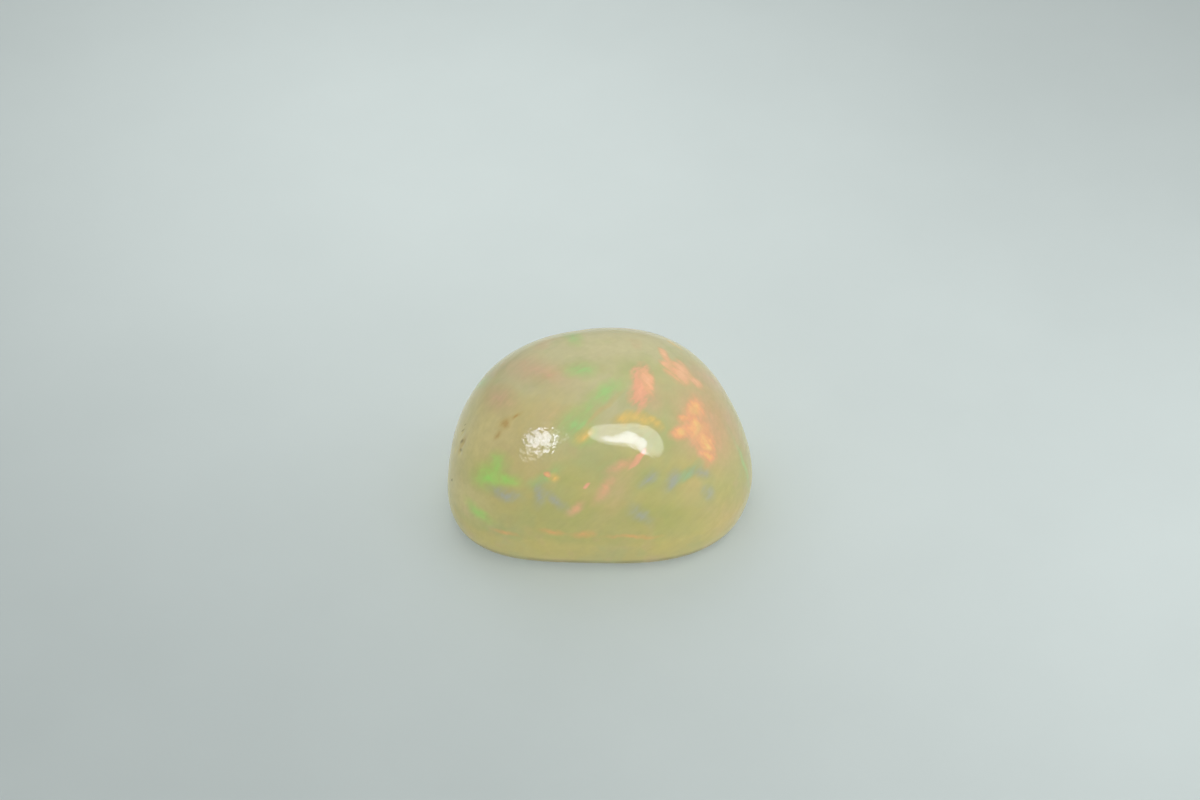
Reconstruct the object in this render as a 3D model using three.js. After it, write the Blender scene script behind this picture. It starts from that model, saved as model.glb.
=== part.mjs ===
// A polished opal cabochon, in millimetres, +Z up: one piece of stone, cut to a free outline with a high dome.
// It lies on its flat ground back. The origin is on the back, under the middle of the stone's box.
import * as THREE from "three";
import { mergeVertices } from "three/addons/utils/BufferGeometryUtils.js";

// The stone's height, the height of its widest line, and how far its ground edge runs in under that line.
const HEIGHT = 9;
const GIRDLE_HEIGHT = 1.7;
const EDGE_INSET = 0.7;

// The widest line, looked at from above: a radius every 30 degrees, anticlockwise from the right-hand end.
// A smooth curve is drawn along them, so the line itself runs a little inside the longest ones.
const GIRDLE_RADII = [7.8, 7, 5.9, 5.4, 5.9, 6.8, 6.95, 8, 6.2, 5.5, 6.35, 7.8];

// The outline that the dome rounds towards as it rises: a squarish ellipse, turned a little from the length.
const CROWN_HALF_LENGTH = 7.35;
const CROWN_HALF_WIDTH = 5.2;
const CROWN_SQUARENESS = 2.45;
const CROWN_TURN = THREE.MathUtils.degToRad(12);

// The dome's cross section is a rounded arch: 2 and 2 would be an ellipse, and more is fuller.
const ARCH_WIDTH_POWER = 2.4;
const ARCH_HEIGHT_POWER = 1.8;

// Facets around the stone, and rows of them up the dome and round the edge.
const AROUND = 96;
const DOME_ROWS = 26;
const EDGE_ROWS = 6;

// A closed smooth curve (a uniform cubic B-spline) through the neighbourhood of the given radii.
function girdleRadius(azimuth) {
  const count = GIRDLE_RADII.length;
  const along = THREE.MathUtils.euclideanModulo((azimuth / (2 * Math.PI)) * count, count);
  const start = Math.floor(along);
  const t = along - start;
  const weights = [
    (1 - t) ** 3 / 6,
    (3 * t ** 3 - 6 * t ** 2 + 4) / 6,
    (-3 * t ** 3 + 3 * t ** 2 + 3 * t + 1) / 6,
    t ** 3 / 6,
  ];
  return weights.reduce(
    (sum, weight, k) => sum + weight * GIRDLE_RADII[(start + k + count - 1) % count],
    0,
  );
}

function crownRadius(azimuth) {
  const angle = azimuth - CROWN_TURN;
  const along = Math.abs(Math.cos(angle) / CROWN_HALF_LENGTH) ** CROWN_SQUARENESS;
  const across = Math.abs(Math.sin(angle) / CROWN_HALF_WIDTH) ** CROWN_SQUARENESS;
  return (along + across) ** (-1 / CROWN_SQUARENESS);
}

// A point of the dome: climb runs from 0 at the girdle to 1 at the crown.
function domePoint(azimuth, climb) {
  const angle = (climb * Math.PI) / 2;
  const width = climb < 1 ? Math.cos(angle) ** (2 / ARCH_WIDTH_POWER) : 0;
  const rise = Math.sin(angle) ** (2 / ARCH_HEIGHT_POWER);
  const outline = THREE.MathUtils.lerp(girdleRadius(azimuth), crownRadius(azimuth), rise);
  return new THREE.Vector3(
    width * outline * Math.cos(azimuth),
    width * outline * Math.sin(azimuth),
    THREE.MathUtils.lerp(GIRDLE_HEIGHT, HEIGHT, rise),
  );
}

// A point of the rounded edge under the girdle: fall runs from 0 at the girdle to 1 at the back.
function edgePoint(azimuth, fall) {
  const angle = (fall * Math.PI) / 2;
  const radius = girdleRadius(azimuth) - EDGE_INSET * (1 - Math.cos(angle));
  return new THREE.Vector3(
    radius * Math.cos(azimuth),
    radius * Math.sin(azimuth),
    GIRDLE_HEIGHT * (1 - Math.sin(angle)),
  );
}

// The rows of a sphere, from its top to its bottom, become the dome, the edge and the middle of the back.
function surfacePoint(azimuth, row) {
  if (row <= DOME_ROWS) {
    return domePoint(azimuth, 1 - row / DOME_ROWS);
  }
  if (row <= DOME_ROWS + EDGE_ROWS) {
    return edgePoint(azimuth, (row - DOME_ROWS) / EDGE_ROWS);
  }
  return new THREE.Vector3(0, 0, 0);
}

function stoneGeometry() {
  const rows = DOME_ROWS + EDGE_ROWS + 1;
  const sphere = new THREE.SphereGeometry(1, AROUND, rows);
  const position = sphere.getAttribute("position");
  for (let row = 0; row <= rows; row += 1) {
    for (let column = 0; column <= AROUND; column += 1) {
      const azimuth = ((column % AROUND) / AROUND) * 2 * Math.PI;
      const point = surfacePoint(azimuth, row);
      position.setXYZ(row * (AROUND + 1) + column, point.x, point.y, point.z);
    }
  }
  sphere.deleteAttribute("normal");
  sphere.deleteAttribute("uv");
  const stone = mergeVertices(sphere);
  stone.computeBoundingBox();
  const middle = stone.boundingBox.getCenter(new THREE.Vector3());
  stone.translate(-middle.x, -middle.y, 0);
  stone.computeVertexNormals();
  return stone;
}

// Milky, olive-yellow precious opal with a glassy polish.
const opal = new THREE.Mesh(
  stoneGeometry(),
  new THREE.MeshStandardMaterial({ color: 0xb6b280, roughness: 0.12, metalness: 0 }),
);
opal.name = "opal";

const cabochon = new THREE.Group();
cabochon.add(opal);

export default cabochon;
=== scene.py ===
import math

import bmesh
import bpy
import numpy as np
from mathutils import Matrix


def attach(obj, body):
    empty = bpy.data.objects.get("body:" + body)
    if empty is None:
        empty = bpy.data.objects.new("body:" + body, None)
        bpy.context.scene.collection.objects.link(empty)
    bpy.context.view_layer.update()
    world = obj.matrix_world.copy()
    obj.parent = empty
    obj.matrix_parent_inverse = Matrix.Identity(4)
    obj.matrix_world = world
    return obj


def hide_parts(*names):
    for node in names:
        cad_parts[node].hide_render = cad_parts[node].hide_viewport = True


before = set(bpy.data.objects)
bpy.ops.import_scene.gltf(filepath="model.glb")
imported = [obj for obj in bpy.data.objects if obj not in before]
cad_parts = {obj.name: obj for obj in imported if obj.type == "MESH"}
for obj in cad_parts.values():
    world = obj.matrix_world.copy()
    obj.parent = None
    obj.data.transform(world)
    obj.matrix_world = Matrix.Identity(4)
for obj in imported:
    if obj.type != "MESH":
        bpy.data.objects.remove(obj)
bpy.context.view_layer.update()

# The opal: one piece of milky precious opal, sawn from the rough, ground by hand to a free outline with a
# high dome, and polished all over. Its ground back is flat, and a soft edge leads from there up to the
# widest line, the girdle. Sizes are in millimetres, and the mesh is turned to metres when it is made.
MM = 0.001
HEIGHT = 9.0
GIRDLE_HEIGHT = 1.7
EDGE_INSET = 0.7
GIRDLE_RADII = [7.8, 7, 5.9, 5.4, 5.9, 6.8, 6.95, 8, 6.2, 5.5, 6.35, 7.8]
CROWN_HALF_LENGTH = 7.35
CROWN_HALF_WIDTH = 5.2
CROWN_SQUARENESS = 2.45
CROWN_TURN = math.radians(12)
ARCH_WIDTH_POWER = 2.4
ARCH_HEIGHT_POWER = 1.8


def girdle_radius(azimuth):
    """The widest line: a closed smooth curve along radii given every 30 degrees, from the right-hand end."""
    count = len(GIRDLE_RADII)
    along = (azimuth / (2 * math.pi) * count) % count
    start = np.floor(along).astype(int)
    t = along - start
    weights = [
        (1 - t) ** 3 / 6,
        (3 * t**3 - 6 * t**2 + 4) / 6,
        (-3 * t**3 + 3 * t**2 + 3 * t + 1) / 6,
        t**3 / 6,
    ]
    radii = np.array(GIRDLE_RADII)
    return sum(weight * radii[(start + k - 1) % count] for k, weight in enumerate(weights))


def crown_radius(azimuth):
    """The squarish ellipse that the dome rounds towards."""
    angle = azimuth - CROWN_TURN
    along = np.abs(np.cos(angle) / CROWN_HALF_LENGTH) ** CROWN_SQUARENESS
    across = np.abs(np.sin(angle) / CROWN_HALF_WIDTH) ** CROWN_SQUARENESS
    return (along + across) ** (-1 / CROWN_SQUARENESS)


STEPS_ROUND_THE_GIRDLE = 3600


def girdle_middle():
    """The middle of the girdle's box, which is the origin."""
    azimuth = np.linspace(0, 2 * math.pi, STEPS_ROUND_THE_GIRDLE + 1)
    x = girdle_radius(azimuth) * np.cos(azimuth)
    y = girdle_radius(azimuth) * np.sin(azimuth)
    return (x.max() + x.min()) / 2, (y.max() + y.min()) / 2


MIDDLE_X, MIDDLE_Y = girdle_middle()


def dome(azimuth, climb):
    """Points of the dome, with climb from 0 at the girdle to 1 at the crown."""
    angle = np.clip(climb, 0, 1) * math.pi / 2
    width = np.maximum(np.cos(angle), 0) ** (2 / ARCH_WIDTH_POWER)
    rise = np.sin(angle) ** (2 / ARCH_HEIGHT_POWER)
    outline = girdle_radius(azimuth) * (1 - rise) + crown_radius(azimuth) * rise
    return np.stack(
        [
            width * outline * np.cos(azimuth) - MIDDLE_X,
            width * outline * np.sin(azimuth) - MIDDLE_Y,
            GIRDLE_HEIGHT + (HEIGHT - GIRDLE_HEIGHT) * rise,
        ],
        axis=-1,
    )


def edge(azimuth, fall):
    """Points of the soft edge under the girdle, with fall from 0 at the girdle to 1 at the back."""
    angle = np.clip(fall, 0, 1) * math.pi / 2
    radius = girdle_radius(azimuth) - EDGE_INSET * (1 - np.cos(angle))
    return np.stack(
        [
            radius * np.cos(azimuth) - MIDDLE_X,
            radius * np.sin(azimuth) - MIDDLE_Y,
            GIRDLE_HEIGHT * (1 - np.sin(angle)),
        ],
        axis=-1,
    )


# The skin is a cube's six faces cut into fine squares and blown up to a ball, so that no row pinches
# together at the crown. The ball's upper part then becomes the dome, a belt under it the edge, and the
# rest the flat back.
SQUARES_ALONG_A_FACE = 118
DOME_ENDS_AT = math.radians(108)
EDGE_ENDS_AT = math.radians(128)

ball = bmesh.new()
bmesh.ops.create_cube(ball, size=2)
bmesh.ops.subdivide_edges(
    ball, edges=ball.edges[:], cuts=SQUARES_ALONG_A_FACE - 1, use_grid_fill=True
)
skin = bpy.data.meshes.new("opal_skin")
ball.to_mesh(skin)
ball.free()

spots = np.empty(len(skin.vertices) * 3)
skin.vertices.foreach_get("co", spots)
spots = np.tan(spots.reshape(-1, 3) * math.pi / 4)
spots /= np.linalg.norm(spots, axis=1, keepdims=True)
azimuths = np.arctan2(spots[:, 1], spots[:, 0])
downs = np.arccos(np.clip(spots[:, 2], -1, 1))
on_dome = downs <= DOME_ENDS_AT
on_back = downs > EDGE_ENDS_AT
climbs = 1 - downs / DOME_ENDS_AT
falls = (downs - DOME_ENDS_AT) / (EDGE_ENDS_AT - DOME_ENDS_AT)
points = np.where(on_dome[:, None], dome(azimuths, climbs), edge(azimuths, falls))
inwards = np.clip((math.pi - downs) / (math.pi - EDGE_ENDS_AT), 0, 1)
points[on_back, :2] *= inwards[on_back, None]
skin.vertices.foreach_set("co", (points * MM).ravel())
skin.update()

# A stone held by hand on the lap wheel is never cut quite true: the polished surface rolls by about a
# hundredth of a millimetre.
ROLLS = 16
ROLL_LENGTHS = (1.6, 5.0)
ROLL_SLOPE = 0.006
ROLL_SEED = 11
draw = np.random.default_rng(ROLL_SEED)
roll = np.zeros(len(points))
for _ in range(ROLLS):
    heading = draw.normal(size=3)
    heading /= np.linalg.norm(heading)
    length = draw.uniform(*ROLL_LENGTHS)
    start = draw.uniform(0, 2 * math.pi)
    wave = np.sin(2 * math.pi * (points @ heading) / length + start)
    roll += ROLL_SLOPE * length / (2 * math.pi) * wave

# Small pits that the polish didn't reach, in the porous left end and one near the crown:
# azimuth in degrees, height, half size up and along, and depth.
PIT_STEEPNESS = 1.5
PITS = [
    (-162, 4.98, 0.30, 0.11, 0.05),
    (-161, 4.55, 0.16, 0.13, 0.05),
    (-165, 4.30, 0.20, 0.10, 0.04),
    (-167, 5.15, 0.26, 0.10, 0.04),
    (-178, 3.25, 0.15, 0.14, 0.06),
    (-174, 3.80, 0.12, 0.12, 0.04),
    (-171, 2.90, 0.22, 0.10, 0.04),
    (158, 4.10, 0.18, 0.12, 0.05),
    (62, 8.66, 0.10, 0.10, 0.04),
]


def dome_climb(height):
    """How far up the dome a height lies."""
    rise = np.clip((height - GIRDLE_HEIGHT) / (HEIGHT - GIRDLE_HEIGHT), 0, 1)
    return np.arcsin(rise ** (ARCH_HEIGHT_POWER / 2)) / (math.pi / 2)


def seat(azimuth_degrees, height):
    """A place on the stone, with its level, uphill and outward directions."""
    azimuth = math.radians(azimuth_degrees)
    step = 0.002
    if height >= GIRDLE_HEIGHT:
        climb = float(dome_climb(height))
        here = dome(np.array(azimuth), climb)
        level = dome(np.array(azimuth + step), climb) - here
        uphill = dome(np.array(azimuth), climb + step) - dome(np.array(azimuth), climb - step)
    else:
        low = math.asin(1 - height / GIRDLE_HEIGHT) / (math.pi / 2)
        here = edge(np.array(azimuth), low)
        level = edge(np.array(azimuth + step), low) - here
        uphill = edge(np.array(azimuth), low - step) - edge(np.array(azimuth), low + step)
    outward = np.cross(level, uphill)
    outward /= np.linalg.norm(outward)
    level /= np.linalg.norm(level)
    return here, level, np.cross(outward, level), outward


dent = np.zeros(len(points))
for azimuth, height, half_up, half_along, depth in PITS:
    here, level, uphill, outward = seat(azimuth, height)
    away = points - here
    reach = np.hypot(away @ level / half_along, away @ uphill / half_up)
    reach += np.abs(away @ outward)
    dent += depth * np.exp(-(reach**2) * PIT_STEEPNESS)

# The rolls and pits begin a little above the back, which stays flat, and grow to their full size.
RELIEF_BEGINS = 0.2
RELIEF_GROWS_OVER = 0.8
outwards = np.empty(len(skin.vertices) * 3)
skin.vertex_normals.foreach_get("vector", outwards)
outwards = outwards.reshape(-1, 3)
above_back = np.clip((points[:, 2] - RELIEF_BEGINS) / RELIEF_GROWS_OVER, 0, 1)[:, None]
points += outwards * (roll - dent)[:, None] * above_back
skin.vertices.foreach_set("co", (points * MM).ravel())
skin.shade_smooth()
skin.update()

opal = bpy.data.objects.new("opal_polished", skin)
bpy.context.scene.collection.objects.link(opal)

# What the stone looks like, worked out in millimetres of the stone itself: a milky olive body with faint
# clouds, a paler crown and rim that are painted glow of light through the thin stone, a painted contact
# shadow above the back, and the play of colour, in patches that lie in the body like torn leaf.
precious_opal = bpy.data.materials.new("precious_opal")
precious_opal.use_nodes = True
bench = precious_opal.node_tree
bench.nodes.clear()


def put(kind, *inputs, **settings):
    """Adds a node to the bench. Each input is a socket's name or number, with its value or what feeds it."""
    made = bench.nodes.new(kind)
    for name, value in settings.items():
        setattr(made, name, value)
    for socket, value in inputs:
        if isinstance(value, bpy.types.NodeSocket):
            bench.links.new(value, made.inputs[socket])
        else:
            made.inputs[socket].default_value = value
    return made


def tint(red, green, blue, cover=1.0):
    """A colour as the eye reads it, 0 to 255, in the shader's own linear scale."""
    linear = [
        part / 12.92 if part <= 0.04045 else ((part + 0.055) / 1.055) ** 2.4
        for part in (red / 255, green / 255, blue / 255)
    ]
    return (*linear, cover)


def ramp(source, stops):
    """A colour ramp with stops of place and colour."""
    made = put("ShaderNodeValToRGB", ("Fac", source))
    while len(made.color_ramp.elements) < len(stops):
        made.color_ramp.elements.new(1)
    for stop, (place, colour) in zip(made.color_ramp.elements, stops):
        stop.position = place
        stop.color = colour
    return made


def over(share, below, above):
    """The colour above laid over the one below. A mix takes colours in at 6 and 7, and gives one at 2."""
    mixed = put("ShaderNodeMix", (0, share), (6, below), (7, above), data_type="RGBA")
    return mixed.outputs[2]


def cloud(where, size, detail=2.0, rough=0.5):
    """Soft noise whose features are about size millimetres across."""
    return put(
        "ShaderNodeTexNoise",
        ("Vector", where), ("Scale", 1 / size), ("Detail", detail), ("Roughness", rough),
    )


place = put("ShaderNodeTexCoord").outputs["Object"]
millimetres = put("ShaderNodeVectorMath", (0, place), ("Scale", 1 / MM), operation="SCALE").outputs[0]

# The milky body.
OLIVE = tint(203, 192, 125)
MOSS = tint(192, 191, 121)
BISCUIT = tint(211, 191, 131)
# Painted glow: the crown's greyer pale stands in for light that comes through the thin top.
CROWN_GLOW_PAINT = tint(207, 203, 163)
# Painted glow: the rim's pale yellow stands in for light through the thin edge and up from the sheet.
RIM_GLOW_PAINT = tint(208, 194, 122)
MOSS_SHADE = tint(185, 184, 112)
# Painted contact shadow: the dark line just above the back, where the stone meets the sheet.
PAINTED_CONTACT_SHADOW = tint(96, 92, 44)
body_cloud = cloud(millimetres, 2.6, 2.0).outputs[0]
body = ramp(body_cloud, [(0.3, MOSS), (0.5, OLIVE), (0.7, BISCUIT)]).outputs[0]

# It is greyer towards the crown, where a paler tone is a painted glow standing in for light that comes
# through the thin top. It is darker and greener on the lower flanks. It is paler and yellower in the rim
# between the back and the girdle, a painted glow of the light that comes through the thin edge and up from
# the sheet. These bands' edges wander. Only the dark line above the back, a painted contact shadow, is
# straight.
BAND_WANDER = 0.8
height = put("ShaderNodeSeparateXYZ", (0, millimetres)).outputs[2]
wavy_height = put(
    "ShaderNodeMath",
    (0, cloud(millimetres, 1.4).outputs[0]), (1, BAND_WANDER), (2, height),
    operation="MULTIPLY_ADD",
).outputs[0]


def rises(value, low, high, share):
    """Grows smoothly from nothing, where the value is low, to the share, where it is high."""
    return put(
        "ShaderNodeMapRange",
        ("Value", value), ("From Min", low), ("From Max", high), ("To Min", 0.0), ("To Max", share),
        interpolation_type="SMOOTHSTEP",
    ).outputs[0]


# Each band: the height it goes by, where it begins, where it is full, its share, and its colour.
for level_by, begins, is_full, share, shade in (
    (wavy_height, 5.2, 8.8, 0.85, CROWN_GLOW_PAINT),
    (wavy_height, 4.9, 2.9, 0.55, MOSS_SHADE),
    (wavy_height, 2.55, 1.95, 0.85, RIM_GLOW_PAINT),
    (height, 0.7, 0.3, 0.7, PAINTED_CONTACT_SHADOW),
):
    body = over(rises(level_by, begins, is_full, share), body, shade)

# The play of colour wanders off its own outlines by up to a quarter of a millimetre, and is combed and torn
# at its edges.
NOISE_MIDDLE = 0.5
DRIFT = 0.5
drift = cloud(millimetres, 0.9, 2.0).outputs["Color"]
drift = put("ShaderNodeVectorMath", (0, drift), (1, (NOISE_MIDDLE,) * 3), operation="SUBTRACT").outputs[0]
drift = put("ShaderNodeVectorMath", (0, drift), ("Scale", DRIFT), operation="SCALE").outputs[0]
wandering = put("ShaderNodeVectorMath", (0, millimetres), (1, drift), operation="ADD").outputs[0]


def combed(along, length, width, detail=2.0):
    """Noise drawn out along a direction, less its middle, so that it swings about nothing."""
    along = np.array(along) / np.linalg.norm(along)
    across = np.cross((0.0, 0.0, 1.0), along)
    across /= np.linalg.norm(across)
    axes = Matrix(np.column_stack([along, across, np.cross(along, across)]).tolist())
    drawn = put(
        "ShaderNodeMapping",
        ("Vector", millimetres), ("Rotation", axes.to_euler()), ("Scale", (length, width, width)),
        vector_type="TEXTURE",
    ).outputs[0]
    strands = cloud(drawn, 1.0, detail, rough=0.6).outputs[0]
    return put("ShaderNodeMath", (0, strands), (1, NOISE_MIDDLE), operation="SUBTRACT").outputs[0]


# The ways in which the leaves are combed: direction, and the length and width of the strands.
TORN = {
    "rising": combed((0.7, 0.47, 0.52), 1.1, 0.24),
    "falling": combed((0.8, -0.4, -0.45), 0.9, 0.22),
    "soft": combed((1.0, 0.0, 0.1), 0.6, 0.45),
}

# Thin clouds of green and of pink stand in the body everywhere. The pink ones are taken a step aside in
# the noise, so that they don't lie where the green ones do.
GREEN_CLOUD = tint(180, 190, 132)
PINK_CLOUD = tint(218, 180, 144)
STEP_ASIDE = (31.0, 7.0, 13.0)
green_cloud = cloud(wandering, 1.5, 2.0).outputs[0]
aside = put("ShaderNodeVectorMath", (0, wandering), (1, STEP_ASIDE), operation="ADD").outputs[0]
pink_cloud = cloud(aside, 1.3, 2.0).outputs[0]
body = over(rises(green_cloud, 0.5, 0.72, 0.4), body, GREEN_CLOUD)
body = over(rises(pink_cloud, 0.52, 0.74, 0.3), body, PINK_CLOUD)

# Each kind of leaf: how torn it is, which way it is combed, and its colours from the middle outwards, as
# how far out, red, green, blue, and how much it covers.
LEAVES = {
    "fern": (0.6, "rising",
             [(0.0, 180, 190, 132, 0.6), (0.4, 184, 190, 128, 0.4), (1.0, 194, 190, 122, 0.0)]),
    "moss": (0.5, "soft",
             [(0.0, 178, 180, 106, 0.6), (0.4, 182, 182, 108, 0.4), (1.0, 192, 186, 114, 0.0)]),
    "tan": (0.5, "rising",
            [(0.0, 214, 190, 138, 0.7), (0.4, 210, 189, 132, 0.5), (1.0, 204, 190, 126, 0.0)]),
    "pale": (0.3, "soft",
             [(0.0, 228, 214, 152, 0.8), (0.4, 224, 210, 148, 0.6), (1.0, 210, 200, 130, 0.0)]),
    "blush": (0.4, "soft",
              [(0.0, 222, 178, 150, 0.65), (0.4, 214, 181, 145, 0.45), (1.0, 204, 186, 134, 0.0)]),
    "peach": (0.5, "falling",
              [(0.0, 240, 186, 146, 0.9), (0.4, 230, 184, 144, 0.65), (1.0, 212, 188, 138, 0.0)]),
    "ember": (0.8, "falling",
              [(0.0, 255, 210, 144, 1.0), (0.3, 255, 194, 140, 1.0), (0.55, 248, 182, 142, 0.75),
               (1.0, 216, 186, 138, 0.0)]),
    "salmon": (0.7, "falling",
               [(0.0, 255, 202, 162, 1.0), (0.4, 248, 192, 152, 0.85), (0.8, 214, 188, 138, 0.0)]),
    "rose": (0.6, "rising",
             [(0.0, 252, 188, 154, 1.0), (0.45, 242, 182, 150, 0.9), (0.75, 214, 186, 138, 0.0)]),
    "gold": (0.8, "rising",
             [(0.0, 244, 208, 126, 1.0), (0.4, 230, 200, 124, 0.7), (0.9, 208, 192, 120, 0.0)]),
    "leaf": (0.7, "rising",
             [(0.0, 170, 214, 138, 0.9), (0.4, 178, 206, 134, 0.6), (0.95, 188, 194, 126, 0.0)]),
    "lime": (0.6, "soft",
             [(0.0, 170, 230, 116, 0.95), (0.4, 182, 218, 118, 0.7), (1.0, 196, 200, 120, 0.0)]),
    "sea": (0.6, "rising",
            [(0.0, 158, 204, 160, 1.0), (0.4, 166, 196, 148, 0.7), (0.9, 184, 188, 124, 0.0)]),
    "dusk": (0.7, "rising",
             [(0.0, 174, 178, 168, 0.85), (0.4, 178, 180, 152, 0.6), (0.95, 188, 186, 120, 0.0)]),
    "thread": (0.8, "falling",
               [(0.0, 230, 180, 118, 0.9), (0.5, 220, 182, 118, 0.6), (1.0, 206, 188, 118, 0.0)]),
    "stain": (1.2, "rising",
              [(0.0, 196, 160, 94, 0.85), (0.4, 202, 174, 108, 0.5), (1.0, 206, 188, 122, 0.0)]),
    "speck": (1.0, "rising",
              [(0.0, 112, 100, 50, 0.9), (0.4, 140, 126, 70, 0.5), (0.9, 180, 166, 100, 0.0)]),
}

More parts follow.
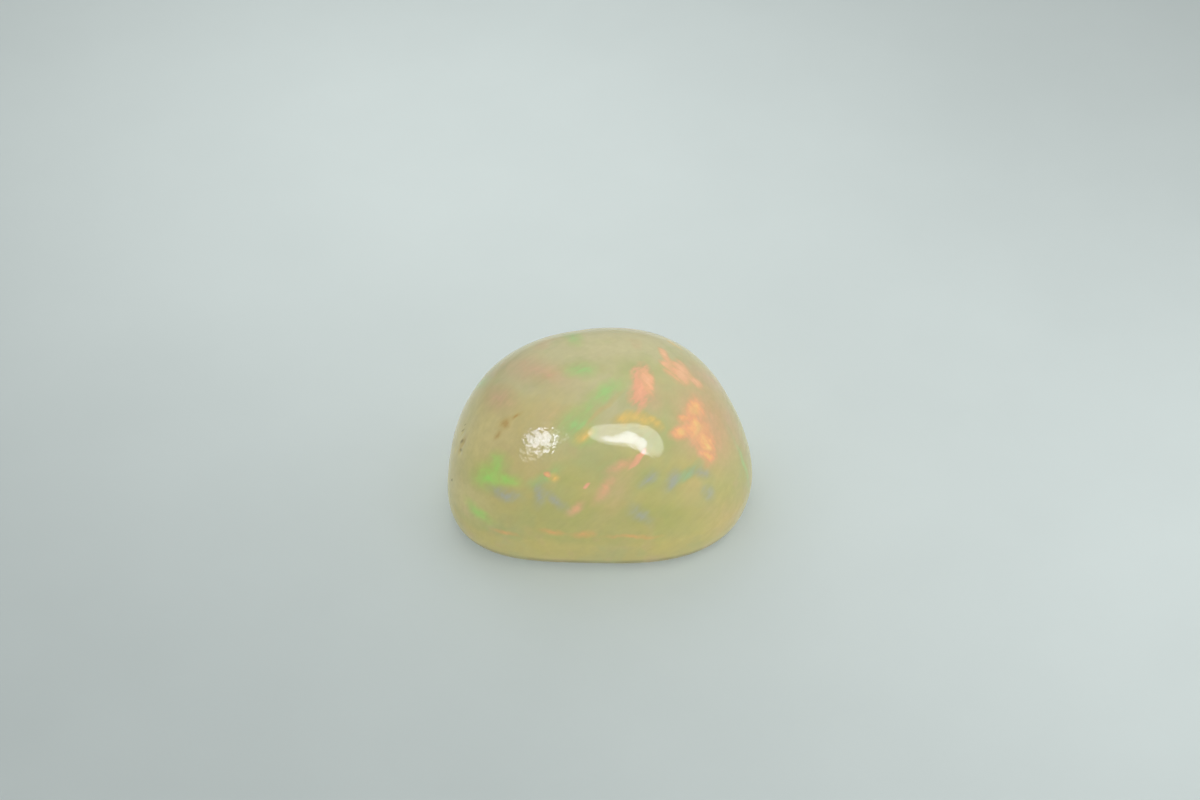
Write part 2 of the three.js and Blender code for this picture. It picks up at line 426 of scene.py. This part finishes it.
# The leaves, in the order in which they are laid: kind, azimuth in degrees, height, half length, half
# width, and how the length leans from level, anticlockwise, as seen from outside.
PLAY = [
    ("fern", -37, 7.2, 1.8, 1.2, 63),
    ("fern", -62, 5.2, 1.7, 0.65, -29),
    ("fern", -85, 5.7, 1.15, 0.85, -37),
    ("fern", -21, 8.7, 1.15, 0.6, -50),
    ("fern", -13, 3.6, 2.4, 0.3, 85),
    ("leaf", -13, 3.7, 1.5, 0.13, 85),
    ("moss", -110, 3.8, 2.6, 0.95, 3),
    ("moss", -62, 3.3, 2.85, 0.6, -9),
    ("tan", -144, 6.65, 1.35, 1.3, -8),
    ("tan", -125, 7.8, 1.3, 0.85, 8),
    ("tan", -29, 1.7, 1.9, 0.9, -33),
    ("tan", -76, 4.75, 1.6, 0.4, 60),
    ("pale", -166, 4.4, 2.6, 1.5, 88),
    ("pale", -150, 3.0, 1.6, 0.9, 10),
    ("pale", 175, 4.0, 2.0, 1.2, 88),
    ("pale", -153, 6.3, 1.9, 1.3, 70),
    ("blush", -165, 8.55, 2.0, 0.65, 43),
    ("blush", -161, 7.4, 1.0, 0.55, 32),
    ("blush", 8, 6.6, 2.2, 0.8, -66),
    ("blush", -8, 5.6, 2.2, 0.8, -80),
    ("blush", -151, 8.67, 0.25, 0.2, 45),
    ("blush", -37, 8.05, 0.8, 0.5, 70),
    ("blush", -22, 6.0, 2.0, 1.3, -75),
    ("leaf", -115, 8.9, 0.8, 0.4, 0),
    ("leaf", -103, 7.5, 0.95, 0.65, 33),
    ("leaf", -97, 7.0, 0.5, 0.35, 20),
    ("leaf", -79, 8.4, 1.2, 0.4, 31),
    ("leaf", -116, 5.3, 0.9, 0.28, 39),
    ("lime", -138.5, 5.3, 0.6, 0.48, 80),
    ("lime", -141, 4.65, 0.8, 0.55, 20),
    ("lime", -132, 4.9, 0.55, 0.28, 5),
    ("lime", -141, 2.75, 0.75, 0.28, -16),
    ("sea", -42, 4.9, 0.8, 0.23, 15),
    ("dusk", -132, 4.2, 0.75, 0.33, 0),
    ("dusk", -117, 4.5, 0.65, 0.3, 85),
    ("dusk", -109, 4.2, 0.7, 0.26, -47),
    ("dusk", -61, 5.1, 0.55, 0.23, 34),
    ("dusk", -50, 4.8, 0.55, 0.36, 49),
    ("dusk", -36, 4.65, 0.55, 0.28, -41),
    ("dusk", -68, 3.4, 0.7, 0.33, -42),
    ("dusk", -37, 3.6, 0.4, 0.3, -60),
    ("gold", -66, 7.6, 0.45, 0.25, 12),
    ("gold", -55, 7.4, 0.6, 0.3, -35),
    ("gold", -47, 7.15, 0.4, 0.2, -54),
    ("gold", -98, 7.1, 0.45, 0.25, 38),
    ("tan", -85, 7.9, 1.0, 0.1, 36),
    ("gold", -112, 5.35, 0.25, 0.2, 0),
    ("fern", -54, 6.7, 1.4, 0.6, -25),
    ("peach", -23, 6.2, 1.5, 1.0, -80),
    ("salmon", 10, 8.35, 0.45, 0.25, 16),
    ("salmon", -3, 8.25, 0.55, 0.42, 40),
    ("salmon", -5, 7.9, 0.75, 0.5, -60),
    ("salmon", -4, 7.4, 0.55, 0.3, 87),
    ("salmon", -2, 7.95, 0.6, 0.5, 10),
    ("rose", -38, 8.4, 1.15, 0.5, 55),
    ("salmon", -30, 8.42, 0.65, 0.26, 75),
    ("rose", -65, 5.95, 0.55, 0.15, 43),
    ("peach", -75, 5.75, 0.6, 0.22, 16),
    ("peach", -84, 4.8, 0.75, 0.26, 52),
    ("peach", -100, 3.8, 0.45, 0.18, 43),
    ("rose", -95, 5.0, 0.18, 0.09, 22),
    ("ember", -21, 6.9, 0.55, 0.4, 33),
    ("ember", -29, 6.9, 0.4, 0.14, -19),
    ("ember", -35, 6.55, 0.5, 0.26, -9),
    ("ember", -27, 6.25, 0.85, 0.5, -76),
    ("ember", -28, 5.5, 0.7, 0.4, 79),
    ("ember", -30, 5.15, 0.45, 0.2, -35),
    ("ember", -115.5, 5.5, 0.14, 0.11, 0),
    ("thread", -130, 2.06, 0.5, 0.13, 5),
    ("thread", -110, 2.45, 0.5, 0.16, -9),
    ("thread", -96, 2.45, 0.5, 0.15, 7),
    ("thread", -72, 2.27, 1.0, 0.1, -3),
    ("stain", -147, 7.0, 0.34, 0.2, 60),
    ("stain", -143, 7.45, 0.26, 0.09, 61),
    ("stain", -146, 6.5, 0.24, 0.12, 80),
    ("stain", -163, 4.9, 0.5, 0.16, 90),
    ("speck", -174.3, 3.7, 0.1, 0.09, 0),
    ("speck", -176, 4.0, 0.12, 0.07, 80),
    ("speck", -164, 4.9, 0.14, 0.06, 70),
    ("speck", -161.7, 4.65, 0.12, 0.07, 40),
    ("speck", -168.3, 5.1, 0.14, 0.05, 75),
    ("speck", -169.8, 5.35, 0.1, 0.05, 70),
    ("speck", -160.4, 2.9, 0.14, 0.05, 80),
    ("ember", 36, 5.2, 0.8, 0.35, 60),
    ("peach", 38, 5.6, 1.2, 0.6, 60),
    ("leaf", 25, 3.9, 0.9, 0.35, 40),
    ("dusk", 45, 3.4, 0.6, 0.3, -30),
    ("rose", 50, 7.0, 0.9, 0.35, -35),
    ("gold", 30, 7.7, 0.5, 0.2, 30),
    ("lime", 62, 4.2, 0.7, 0.4, 70),
    ("peach", 79, 5.7, 1.5, 0.9, 65),
    ("ember", 77, 6.0, 1.0, 0.45, 65),
    ("ember", 84, 5.1, 0.6, 0.35, -20),
    ("gold", 70, 6.7, 0.5, 0.25, 30),
    ("leaf", 98, 7.0, 1.3, 0.5, 30),
    ("leaf", 108, 5.6, 0.8, 0.3, 35),
    ("sea", 91, 3.9, 0.9, 0.3, 10),
    ("dusk", 75, 3.5, 0.7, 0.35, -40),
    ("dusk", 103, 4.2, 0.6, 0.3, 50),
    ("salmon", 128, 7.3, 1.0, 0.4, -50),
    ("rose", 124, 7.7, 0.8, 0.3, 30),
    ("lime", 140, 4.8, 0.8, 0.45, 25),
    ("ember", 151, 6.2, 0.6, 0.3, 70),
    ("gold", 146, 5.6, 0.4, 0.2, 20),
    ("dusk", 160, 4.2, 0.7, 0.3, 0),
    ("leaf", 171, 6.3, 0.9, 0.35, 55),
    ("rose", 130, 3.2, 0.5, 0.16, 40),
    ("salmon", 62, 8.1, 0.7, 0.3, 20),
    ("leaf", 128, 8.75, 0.8, 0.4, 80),
    ("gold", 94, 8.1, 0.6, 0.14, 40),
    ("thread", 60, 2.3, 0.7, 0.08, 5),
    ("thread", 105, 2.2, 0.6, 0.08, -4),
    ("thread", 150, 2.4, 0.6, 0.09, 6),
]
LEAF_DEPTH = 1.2
LEAF_SPREAD = 1.8
LEAF_INPUTS = {
    "Below": "Color",
    "Where": "Vector",
    "Torn": "Float",
    "Place": "Vector",
    "Turn": "Vector",
    "Size": "Vector",
}

# A leaf's thickness takes in next to nothing of the colour below. That can't be seen, but it makes the
# renderer work the leaves out one by one. All at once they are too many for it, and the stone turns black.
NEXT_TO_NOTHING = 1e-9


def leaf_layer(kind, stops):
    """One kind of leaf as a node group, which lays a leaf of a given place, turn and size over the rest."""
    global bench
    layer = bpy.data.node_groups.new(kind + "_leaf", "ShaderNodeTree")
    for name, sort in LEAF_INPUTS.items():
        layer.interface.new_socket(name, in_out="INPUT", socket_type="NodeSocket" + sort)
    layer.interface.new_socket("Colour", in_out="OUTPUT", socket_type="NodeSocketColor")
    whole_bench, bench = bench, layer
    given = put("NodeGroupInput").outputs
    local = put(
        "ShaderNodeMapping",
        ("Vector", given["Where"]), ("Location", given["Place"]), ("Rotation", given["Turn"]),
        ("Scale", given["Size"]),
        vector_type="TEXTURE",
    ).outputs[0]
    swell = put("ShaderNodeTexGradient", ("Vector", local), gradient_type="SPHERICAL").outputs["Fac"]
    after = put(
        "ShaderNodeVectorMath",
        (0, given["Below"]), (1, (NEXT_TO_NOTHING, 0.0, 0.0)),
        operation="DOT_PRODUCT",
    )
    thick = put(
        "ShaderNodeMath",
        (0, swell), (1, given["Torn"]), (2, after.outputs["Value"]),
        operation="MULTIPLY_ADD",
    ).outputs[0]
    leaf = ramp(thick, [(1 - far_out, tint(*shade)) for far_out, *shade in reversed(stops)])
    laid = over(leaf.outputs["Alpha"], given["Below"], leaf.outputs["Color"])
    put("NodeGroupOutput", (0, laid))
    bench = whole_bench
    return layer


layers = {}
edges = {}
for kind, (tearing, comb, stops) in LEAVES.items():
    layers[kind] = leaf_layer(kind, stops)
    edges[kind] = put(
        "ShaderNodeMath", (0, TORN[comb]), (1, 2 * tearing), (2, 1.0), operation="MULTIPLY_ADD"
    ).outputs[0]
colour = body
for kind, azimuth, up, half_length, half_width, lean in PLAY:
    here, level, uphill, outward = seat(azimuth, up)
    lean = math.radians(lean)
    along = level * math.cos(lean) + uphill * math.sin(lean)
    across = np.cross(outward, along)
    axes = Matrix(np.column_stack([along, across, outward]).tolist())
    leaf = put("ShaderNodeGroup", node_tree=layers[kind])
    leaf.inputs["Place"].default_value = here.tolist()
    leaf.inputs["Turn"].default_value = axes.to_euler()
    leaf.inputs["Size"].default_value = (
        half_length * LEAF_SPREAD, half_width * LEAF_SPREAD, LEAF_DEPTH * LEAF_SPREAD
    )
    bench.links.new(colour, leaf.inputs["Below"])
    bench.links.new(wandering, leaf.inputs["Where"])
    bench.links.new(edges[kind], leaf.inputs["Torn"])
    colour = leaf.outputs["Colour"]

# Round the ends and the back, small leaves of the same kinds lie scattered between the large ones, one to
# a cell of a loose honeycomb. A cell draws two lots between 0 and 1: one for its kind, with the kinds
# listed by where each one's share begins, and one for how well it shows.
NEAR_SIDE = (0.0, -0.74, 0.67)
SCATTER_SPACING = 1.5
SCATTER_TEARING = 0.5
SCATTER_REACH = 0.5
SCATTER_HEART = 0.08
SCATTER_COVER = 0.55
SCATTERED = [
    (0.0, "leaf"), (0.17, "ember"), (0.31, "lime"), (0.43, "rose"),
    (0.56, "dusk"), (0.68, "salmon"), (0.79, "sea"), (0.9, "gold"),
]


def heart(kind):
    """The colour in the middle of a kind of leaf."""
    stops = LEAVES[kind][2]
    return tint(*stops[0][1:])


facing = put("ShaderNodeVectorMath", (0, millimetres), (1, NEAR_SIDE), operation="DOT_PRODUCT")
turned_away = rises(facing.outputs["Value"], 1.9, 0.6, 1.0)
cells = put("ShaderNodeTexVoronoi", ("Vector", wandering), ("Scale", 1 / SCATTER_SPACING), feature="F1")
lots = put("ShaderNodeSeparateColor", ("Color", cells.outputs["Color"])).outputs
picked = ramp(lots[0], [(start, heart(kind)) for start, kind in SCATTERED])
picked.color_ramp.interpolation = "CONSTANT"
reach = put(
    "ShaderNodeMath",
    (0, TORN["rising"]), (1, SCATTER_TEARING), (2, cells.outputs["Distance"]),
    operation="MULTIPLY_ADD",
).outputs[0]
there = rises(reach, SCATTER_REACH, SCATTER_HEART, SCATTER_COVER)
for share in (rises(lots[1], 0.5, 0.8, 1.0), turned_away):
    there = put("ShaderNodeMath", (0, there), (1, share), operation="MULTIPLY").outputs[0]
colour = over(there, colour, picked.outputs["Color"])

# A fine silky grain runs through it all, and a milky veil lies over it.
SILK_SWING = 0.35
SILK_SHADE = 0.05
VEIL_COVER = 0.16
MILK = tint(190, 184, 146)
silk = put("ShaderNodeMath", (0, TORN["rising"]), (1, TORN["soft"]), operation="ADD").outputs[0]
silk = put(
    "ShaderNodeMapRange",
    ("Value", silk), ("From Min", -SILK_SWING), ("From Max", SILK_SWING),
    ("To Min", 1 - SILK_SHADE), ("To Max", 1 + SILK_SHADE),
).outputs[0]
colour = put("ShaderNodeVectorMath", (0, colour), ("Scale", silk), operation="SCALE").outputs[0]
veil = rises(cloud(millimetres, 1.8, 2.0).outputs[0], 0.3, 0.7, VEIL_COVER)
colour = over(veil, colour, MILK)

# The polish: glassy, with the lap's faint unevenness and fine scratches. In two places it is less even:
# azimuth, height, how far each reaches, and by how much.
EVEN_PEEL = 0.1
COARSE_PEEL = [
    (-124, 6.7, 2.2, 1.2),
    (-61, 6.4, 1.0, 0.15),
]
PEEL_FULL_WITHIN = 0.3
SCRATCH_SWING = 0.2
SCRATCH_DEPTH = 0.05
POLISH_DEPTH = 0.02 * MM
POLISHED = 0.03
SCRATCHED = 0.07
GROUND = 0.3
peel = EVEN_PEEL
for azimuth, up, peel_reach, coarse in COARSE_PEEL:
    middle = seat(azimuth, up)[0].tolist()
    away = put("ShaderNodeVectorMath", (0, millimetres), (1, middle), operation="DISTANCE").outputs["Value"]
    patch = rises(away, peel_reach, PEEL_FULL_WITHIN, coarse)
    peel = put("ShaderNodeMath", (0, patch), (1, peel), operation="ADD").outputs[0]
uneven = cloud(millimetres, 0.26, 1.0).outputs[0]
uneven = put("ShaderNodeMath", (0, uneven), (1, peel), operation="MULTIPLY").outputs[0]
scratches = combed((0.6, 0.55, 0.58), 1.4, 0.07, 1.0)
relief = put(
    "ShaderNodeMath", (0, scratches), (1, SCRATCH_DEPTH), (2, uneven), operation="MULTIPLY_ADD"
).outputs[0]
bump = put("ShaderNodeBump", ("Height", relief), ("Strength", 1.0), ("Distance", POLISH_DEPTH))
gloss = put(
    "ShaderNodeMapRange",
    ("Value", scratches), ("From Min", -SCRATCH_SWING), ("From Max", SCRATCH_SWING),
    ("To Min", POLISHED), ("To Max", SCRATCHED),
).outputs[0]
ground_back = rises(height, 0.06, 0.0, GROUND)
gloss = put("ShaderNodeMath", (0, gloss), (1, ground_back), operation="ADD").outputs[0]
surface = put(
    "ShaderNodeBsdfPrincipled",
    ("Base Color", colour), ("Roughness", gloss), ("IOR", 1.45), ("Normal", bump.outputs[0]),
    ("Subsurface Weight", 0.5), ("Subsurface Radius", (1.0, 0.9, 0.6)), ("Subsurface Scale", 1.2 * MM),
    ("Transmission Weight", 0.08), ("Sheen Weight", 0.4), ("Sheen Roughness", 0.55),
    ("Sheen Tint", tint(236, 226, 186)),
)
put("ShaderNodeOutputMaterial", ("Surface", surface.outputs[0]))
skin.materials.append(precious_opal)

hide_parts("opal")
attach(opal, "root")

# The pale sheet that the stone lies on: matt card of a cool light grey, with a barely seen mottle and grain.
# It is laid flat, so near under the back that no gap shows, and it is so wide that no edge of it shows.
SHEET_SIDE = 6000 * MM
SHEET_GAP = 0.01 * MM
CARD_DARK = tint(203, 213, 211)
CARD_LIGHT = tint(206, 216, 214)
GRAIN_DEPTH = 0.02 * MM
half = SHEET_SIDE / 2
sheet_mesh = bpy.data.meshes.new("sheet")
sheet_mesh.from_pydata(
    [(x, y, -SHEET_GAP) for x, y in ((-half, -half), (half, -half), (half, half), (-half, half))],
    [],
    [(0, 1, 2, 3)],
)
sheet = bpy.data.objects.new("sheet", sheet_mesh)
bpy.context.scene.collection.objects.link(sheet)
card = bpy.data.materials.new("pale_card")
card.use_nodes = True
bench = card.node_tree
bench.nodes.clear()
place = put("ShaderNodeTexCoord").outputs["Object"]
millimetres = put("ShaderNodeVectorMath", (0, place), ("Scale", 1 / MM), operation="SCALE").outputs[0]
mottle = cloud(millimetres, 9.0, 3.0).outputs[0]
card_colour = ramp(mottle, [(0.3, CARD_DARK), (0.7, CARD_LIGHT)]).outputs[0]
grain = cloud(millimetres, 0.35, 2.0).outputs[0]
card_bump = put("ShaderNodeBump", ("Height", grain), ("Strength", 0.15), ("Distance", GRAIN_DEPTH))
card_surface = put(
    "ShaderNodeBsdfPrincipled",
    ("Base Color", card_colour), ("Roughness", 0.85), ("Normal", card_bump.outputs[0]),
)
put("ShaderNodeOutputMaterial", ("Surface", card_surface.outputs[0]))
sheet_mesh.materials.append(card)

# Light: a pale tent all round, and in front of the stone two lamps, each a wide dim shade with a bright
# middle. The shades are so soft that they light without a shadow, and the middles only shine on what is
# polished, in a cooler white.
AIM = np.array([0.0, 0.0, 5.0]) * MM
LAMPS_AWAY = 400 * MM
MIDDLE_TINT = (0.74, 0.76, 1.0)


def lamp(name, shape, azimuth, elevation, wide, high, power, roll, lights_up):
    """A lamp at an azimuth from straight in front, to the right, as wide and high as seen from the stone."""
    azimuth = math.radians(azimuth)
    elevation = math.radians(elevation)
    back = np.array([
        math.sin(azimuth) * math.cos(elevation),
        -math.cos(azimuth) * math.cos(elevation),
        math.sin(elevation),
    ])
    right = np.array([math.cos(azimuth), math.sin(azimuth), 0.0])
    up = np.cross(back, right)
    data = bpy.data.lights.new(name, "AREA")
    data.shape = shape
    data.size = 2 * LAMPS_AWAY * math.tan(math.radians(wide) / 2)
    data.size_y = 2 * LAMPS_AWAY * math.tan(math.radians(high) / 2)
    data.energy = power * data.size * data.size_y
    made = bpy.data.objects.new(name, data)
    axes = Matrix(np.column_stack([right, up, back]).tolist()).to_4x4()
    place = Matrix.Translation((AIM + back * LAMPS_AWAY).tolist())
    made.matrix_world = place @ axes @ Matrix.Rotation(math.radians(roll), 4, "Z")
    made.visible_camera = False
    made.visible_diffuse = lights_up
    made.visible_transmission = lights_up
    data.use_shadow = False
    if not lights_up:
        data.color = MIDDLE_TINT
    bpy.context.scene.collection.objects.link(made)


lamp(
    "right_shade", "ELLIPSE",
    azimuth=28, elevation=30.5, wide=30, high=20, power=13.0, roll=-19, lights_up=True,
)
lamp(
    "right_middle", "RECTANGLE",
    azimuth=23.2, elevation=28.2, wide=11.5, high=8.6, power=38.0, roll=-44, lights_up=False,
)
lamp(
    "left_shade", "ELLIPSE",
    azimuth=-21, elevation=28, wide=34, high=20, power=9.5, roll=32, lights_up=True,
)
lamp(
    "left_middle", "ELLIPSE",
    azimuth=-25, elevation=31, wide=31, high=18, power=26.0, roll=-20, lights_up=False,
)

# Two more lamps hang low, at the back left and at the right. Their light pools under them and fades towards
# the front left. It falls without a shadow, and the polish doesn't mirror them.
# Each: where it hangs and how wide it is, in millimetres, and its power.
for name, spot, across_lamp, power in (
    ("back_pool", (-11, 30, 30), 50, 0.0064),
    ("right_pool", (38, -5, 44), 40, 0.0100),
):
    pool = bpy.data.lights.new(name, "AREA")
    pool.shape = "DISK"
    pool.size = across_lamp * MM
    pool.energy = power
    pool.use_shadow = False
    hung = bpy.data.objects.new(name, pool)
    hung.location = [part * MM for part in spot]
    hung.visible_glossy = False
    hung.visible_camera = False
    bpy.context.scene.collection.objects.link(hung)

TENT_TINT = (0.98, 1.0, 1.0, 1.0)
TENT_STRENGTH = 0.36
tent = bpy.data.worlds.new("tent")
tent.use_nodes = True
glow = tent.node_tree.nodes["Background"]
glow.inputs["Color"].default_value = TENT_TINT
glow.inputs["Strength"].default_value = TENT_STRENGTH
bpy.context.scene.world = tent
bpy.context.scene.view_settings.view_transform = "Standard"

# The camera: a macro lens from about 42 degrees above, square to the stone's length. It looks at a place
# behind the stone's middle, so that the stone lies a little low in the frame.
LENS = 100.0
SENSOR_WIDTH = 36.0
CAMERA_ELEVATION = math.radians(42)
CAMERA_AWAY = 170 * MM
LOOKS_AT = np.array([0.0, 6.7, 0.0]) * MM
look = bpy.data.cameras.new("camera")
look.lens = LENS
look.sensor_width = SENSOR_WIDTH
look.clip_start = 0.005
look.clip_end = 20.0
camera = bpy.data.objects.new("camera", look)
backwards = np.array([0.0, -math.cos(CAMERA_ELEVATION), math.sin(CAMERA_ELEVATION)])
camera.location = (LOOKS_AT + backwards * CAMERA_AWAY).tolist()
camera.rotation_euler = (math.pi / 2 - CAMERA_ELEVATION, 0, 0)
bpy.context.scene.collection.objects.link(camera)
bpy.context.scene.camera = camera
